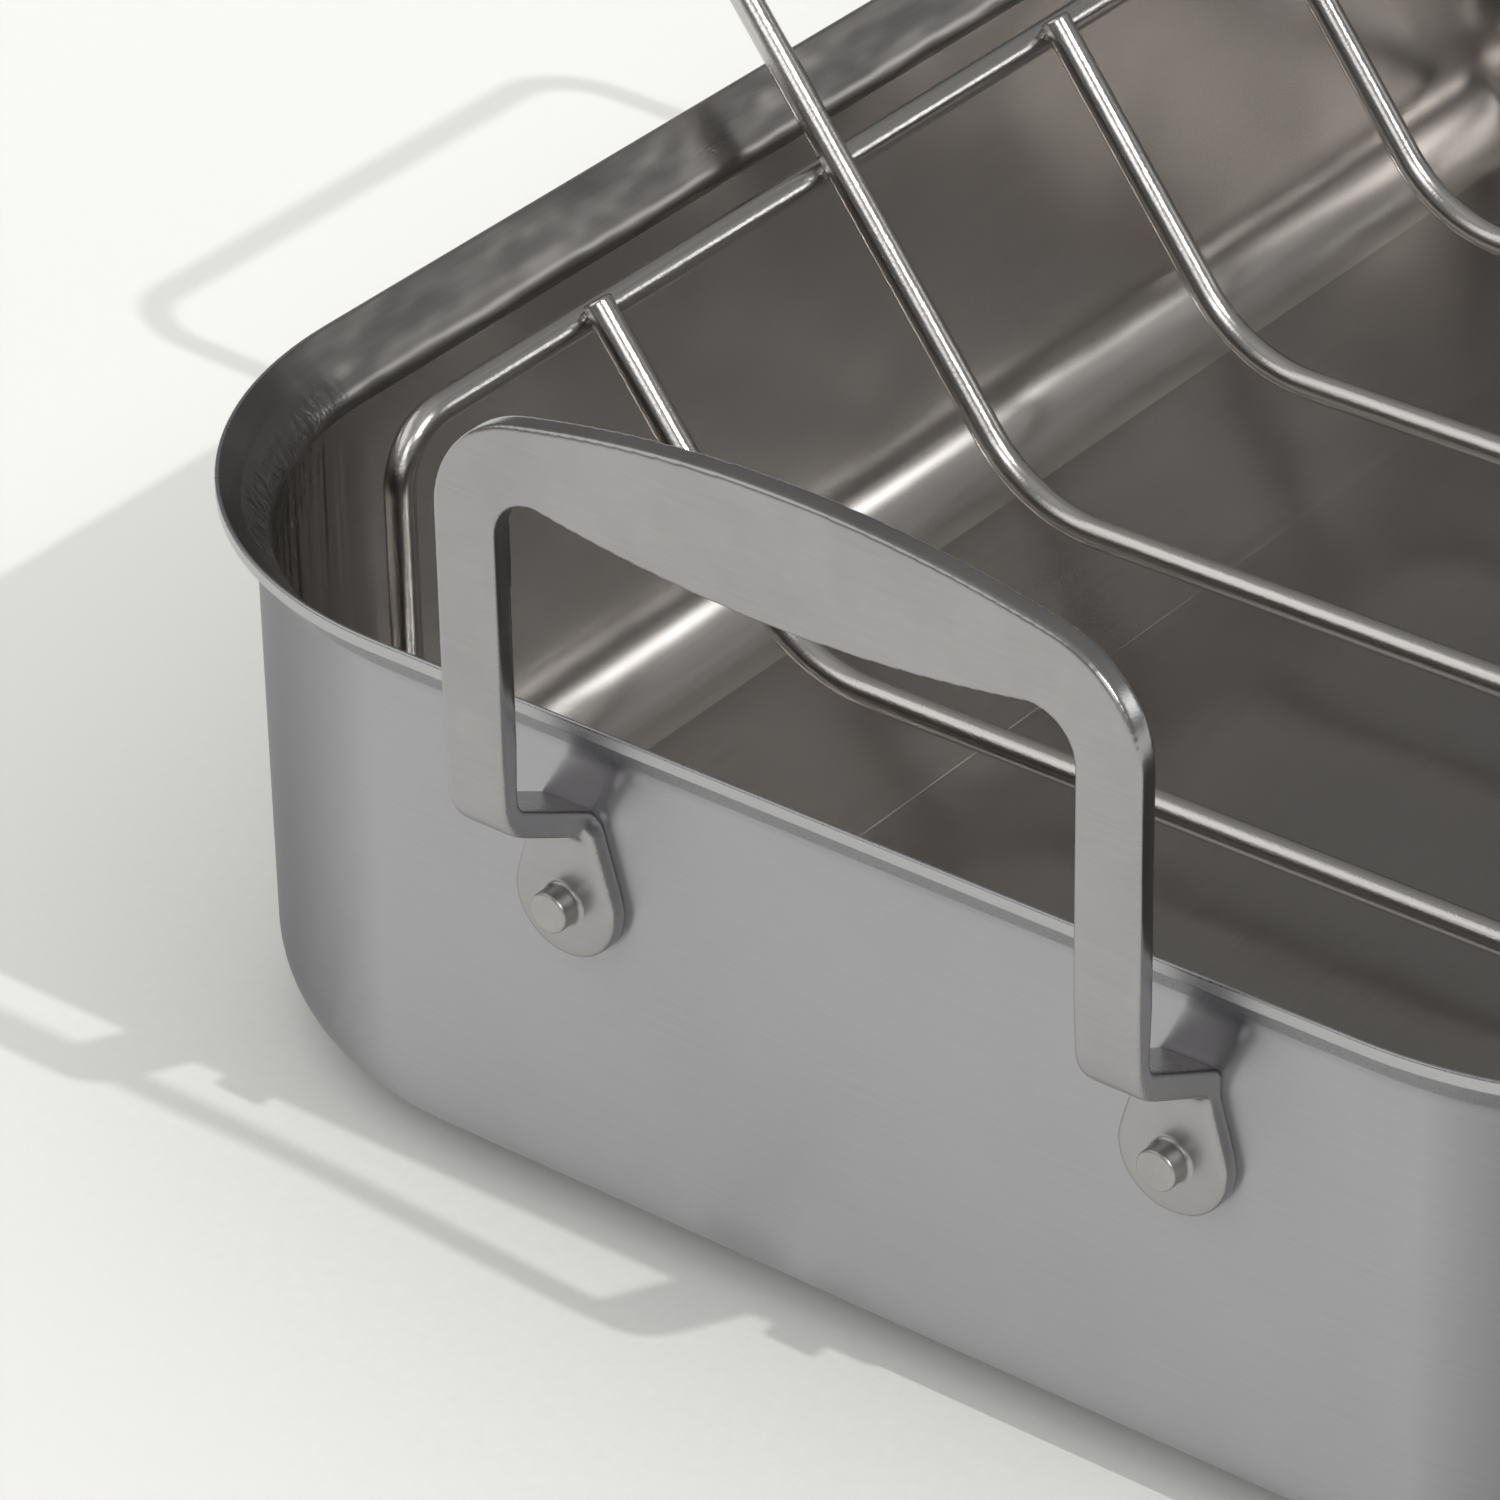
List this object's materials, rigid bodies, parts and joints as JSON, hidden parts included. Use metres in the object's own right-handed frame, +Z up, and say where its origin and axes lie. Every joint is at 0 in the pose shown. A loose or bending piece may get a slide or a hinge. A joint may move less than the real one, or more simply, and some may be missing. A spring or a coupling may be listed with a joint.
{
  "type": "roasting pan",
  "caption": "Rectangular steel roasting pan with round corners, riveted upright loop handles and a lift-out cradle rack bent from wire.",
  "frame": {"origin": "on the table, under the middle of the pan", "axes": "+Z up, +X along the pan from one handle to the other, +Y across it"},
  "size_m": [0.481, 0.3214, 0.1526],
  "materials": {
    "pan_steel": "fine brushed outside, satin inside",
    "handle_steel": "cast and satin blasted",
    "rivet_steel": "satin",
    "wire_steel": "bright polished wire"
  },
  "bodies": {
    "pan": {"pan_body": "pan_steel", "handle_left": "handle_steel", "handle_right": "handle_steel", "rivet_left_front": "rivet_steel", "rivet_left_back": "rivet_steel", "rivet_right_front": "rivet_steel", "rivet_right_back": "rivet_steel"},
    "rack": {"rack_frame": "wire_steel", "rack_lifting_hoop": "wire_steel", "rack_wire_left": "wire_steel", "rack_wire_middle": "wire_steel", "rack_wire_right": "wire_steel"}
  },
  "joints": [
    {"name": "rack_lift", "type": "slide", "parent": "pan", "child": "rack", "axis": [0, 0, 1], "range_m": [0, 0.16]}
  ]
}
